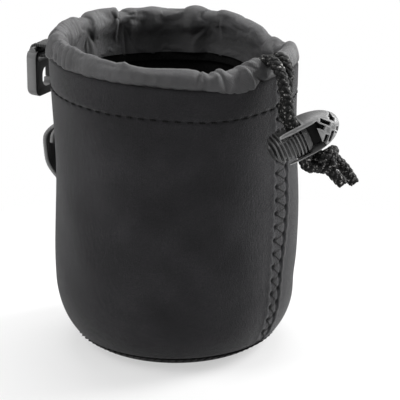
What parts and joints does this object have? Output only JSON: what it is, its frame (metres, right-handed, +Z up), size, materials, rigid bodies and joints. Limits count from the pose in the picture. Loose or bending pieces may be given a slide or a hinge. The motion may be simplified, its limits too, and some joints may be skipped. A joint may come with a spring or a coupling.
{
  "type": "drawstring lens pouch",
  "caption": "Soft padded neoprene cup with a gathered nylon drawstring collar, a spring cord lock, a webbing belt loop and a small snap hook.",
  "frame": {"origin": "centre of the base, on the surface the pouch stands on", "axes": "+Z up out of the mouth, +X towards the side seam and the cord lock, -X towards the belt loop and hook"},
  "size_m": [0.1186, 0.0828, 0.1056],
  "materials": {
    "neoprene": "matte knit-faced foam",
    "casing_nylon": "fine woven nylon",
    "cord": "braided with pale flecks",
    "thread": "spun sewing thread",
    "webbing": "woven tape",
    "lock_plastic": "moulded satin",
    "hook_plastic": "moulded satin",
    "spring_steel": "drawn wire"
  },
  "bodies": {
    "pouch": {"outer_wall": "neoprene", "base_panel": "neoprene", "base_seam_thread": "thread", "side_seam_thread": "thread", "collar_stitch_thread": "thread", "strap_tack_upper": "thread", "strap_tack_lower": "thread", "tab_tack": "thread", "collar_casing": "casing_nylon", "drawstring_loop": "cord", "strand_front": "cord", "strand_rear": "cord", "stopper_knot": "cord", "tail_front": "cord", "tail_rear": "cord", "hook_tab": "webbing", "belt_strap": "webbing"},
    "lock": {"lock_body": "lock_plastic", "lock_spring": "spring_steel"},
    "button": {"lock_button": "lock_plastic"},
    "hook": {"hook_body": "hook_plastic"},
    "gate": {"hook_gate": "hook_plastic"}
  },
  "joints": [
    {"name": "lock_slide", "type": "slide", "parent": "pouch", "child": "lock", "axis": [-0.2481, -0.291, 0.924], "range_m": [0, 0.004]},
    {"name": "button_press", "type": "slide", "parent": "lock", "child": "button", "axis": [0.6279, 0.678, 0.3821], "range_m": [0, 0.0035], "stiffness_N_per_m": 300, "springref_m": -0.004, "deforming": ["lock_spring"]},
    {"name": "hook_swing", "type": "hinge", "parent": "pouch", "child": "hook", "pos_m": [-0.05246, 0, 0.0922], "axis": [0, 1, 0], "range_deg": [-15, 140]},
    {"name": "gate_open", "type": "hinge", "parent": "hook", "child": "gate", "pos_m": [-0.05246, 0.005, 0.08485], "axis": [-1, 0, 0], "range_deg": [0, 50], "stiffness_Nm_per_rad": 0.002, "springref_deg": -17.19}
  ]
}
